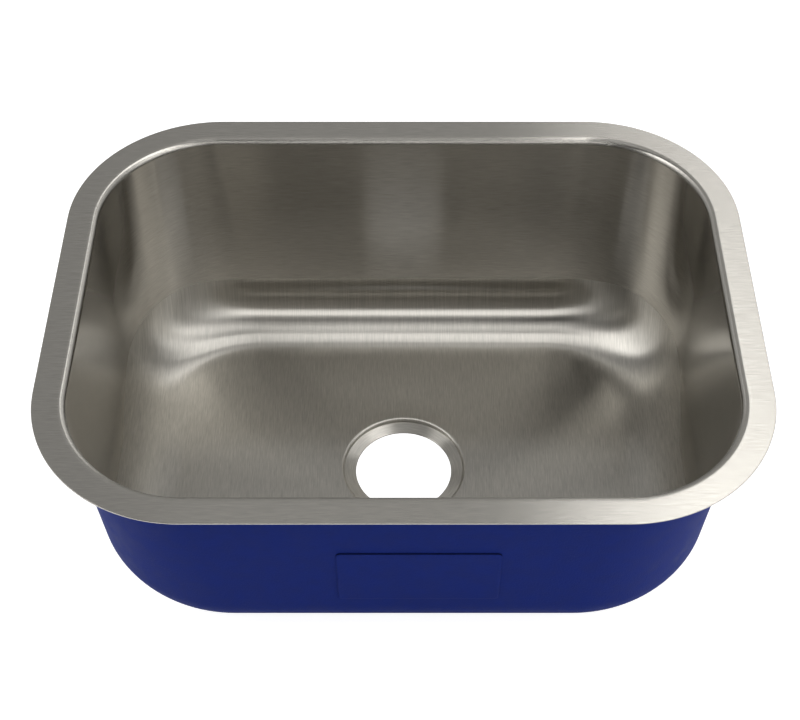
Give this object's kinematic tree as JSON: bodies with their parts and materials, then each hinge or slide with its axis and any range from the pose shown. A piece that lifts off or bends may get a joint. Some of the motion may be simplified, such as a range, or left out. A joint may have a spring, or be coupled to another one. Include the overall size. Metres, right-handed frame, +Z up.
{
  "type": "undermount kitchen sink",
  "caption": "Single-bowl undermount sink of brushed steel with a flat rounded flange, coved floor, recessed drain hole and a blue sprayed undercoat over rubber sound pads.",
  "frame": {"origin": "on the standing plane, the underside of the drain recess, below the middle of the flange", "axes": "+Z up out of the bowl, +X along the sink to the right, -Y to the front, nearest the user"},
  "size_m": [0.5904, 0.455, 0.2347],
  "materials": {
    "brushed_steel": "satin brushed along the walls, the flange and the floor",
    "blue_coat": "sprayed matt coat with a fine orange-peel texture",
    "pad_rubber": "matt"
  },
  "bodies": {
    "root": {"sink_bowl": "brushed_steel", "undercoat": "blue_coat", "front_sound_pad": "pad_rubber", "back_sound_pad": "pad_rubber", "left_sound_pad": "pad_rubber", "right_sound_pad": "pad_rubber", "left_base_pad": "pad_rubber", "right_base_pad": "pad_rubber"}
  },
  "joints": []
}
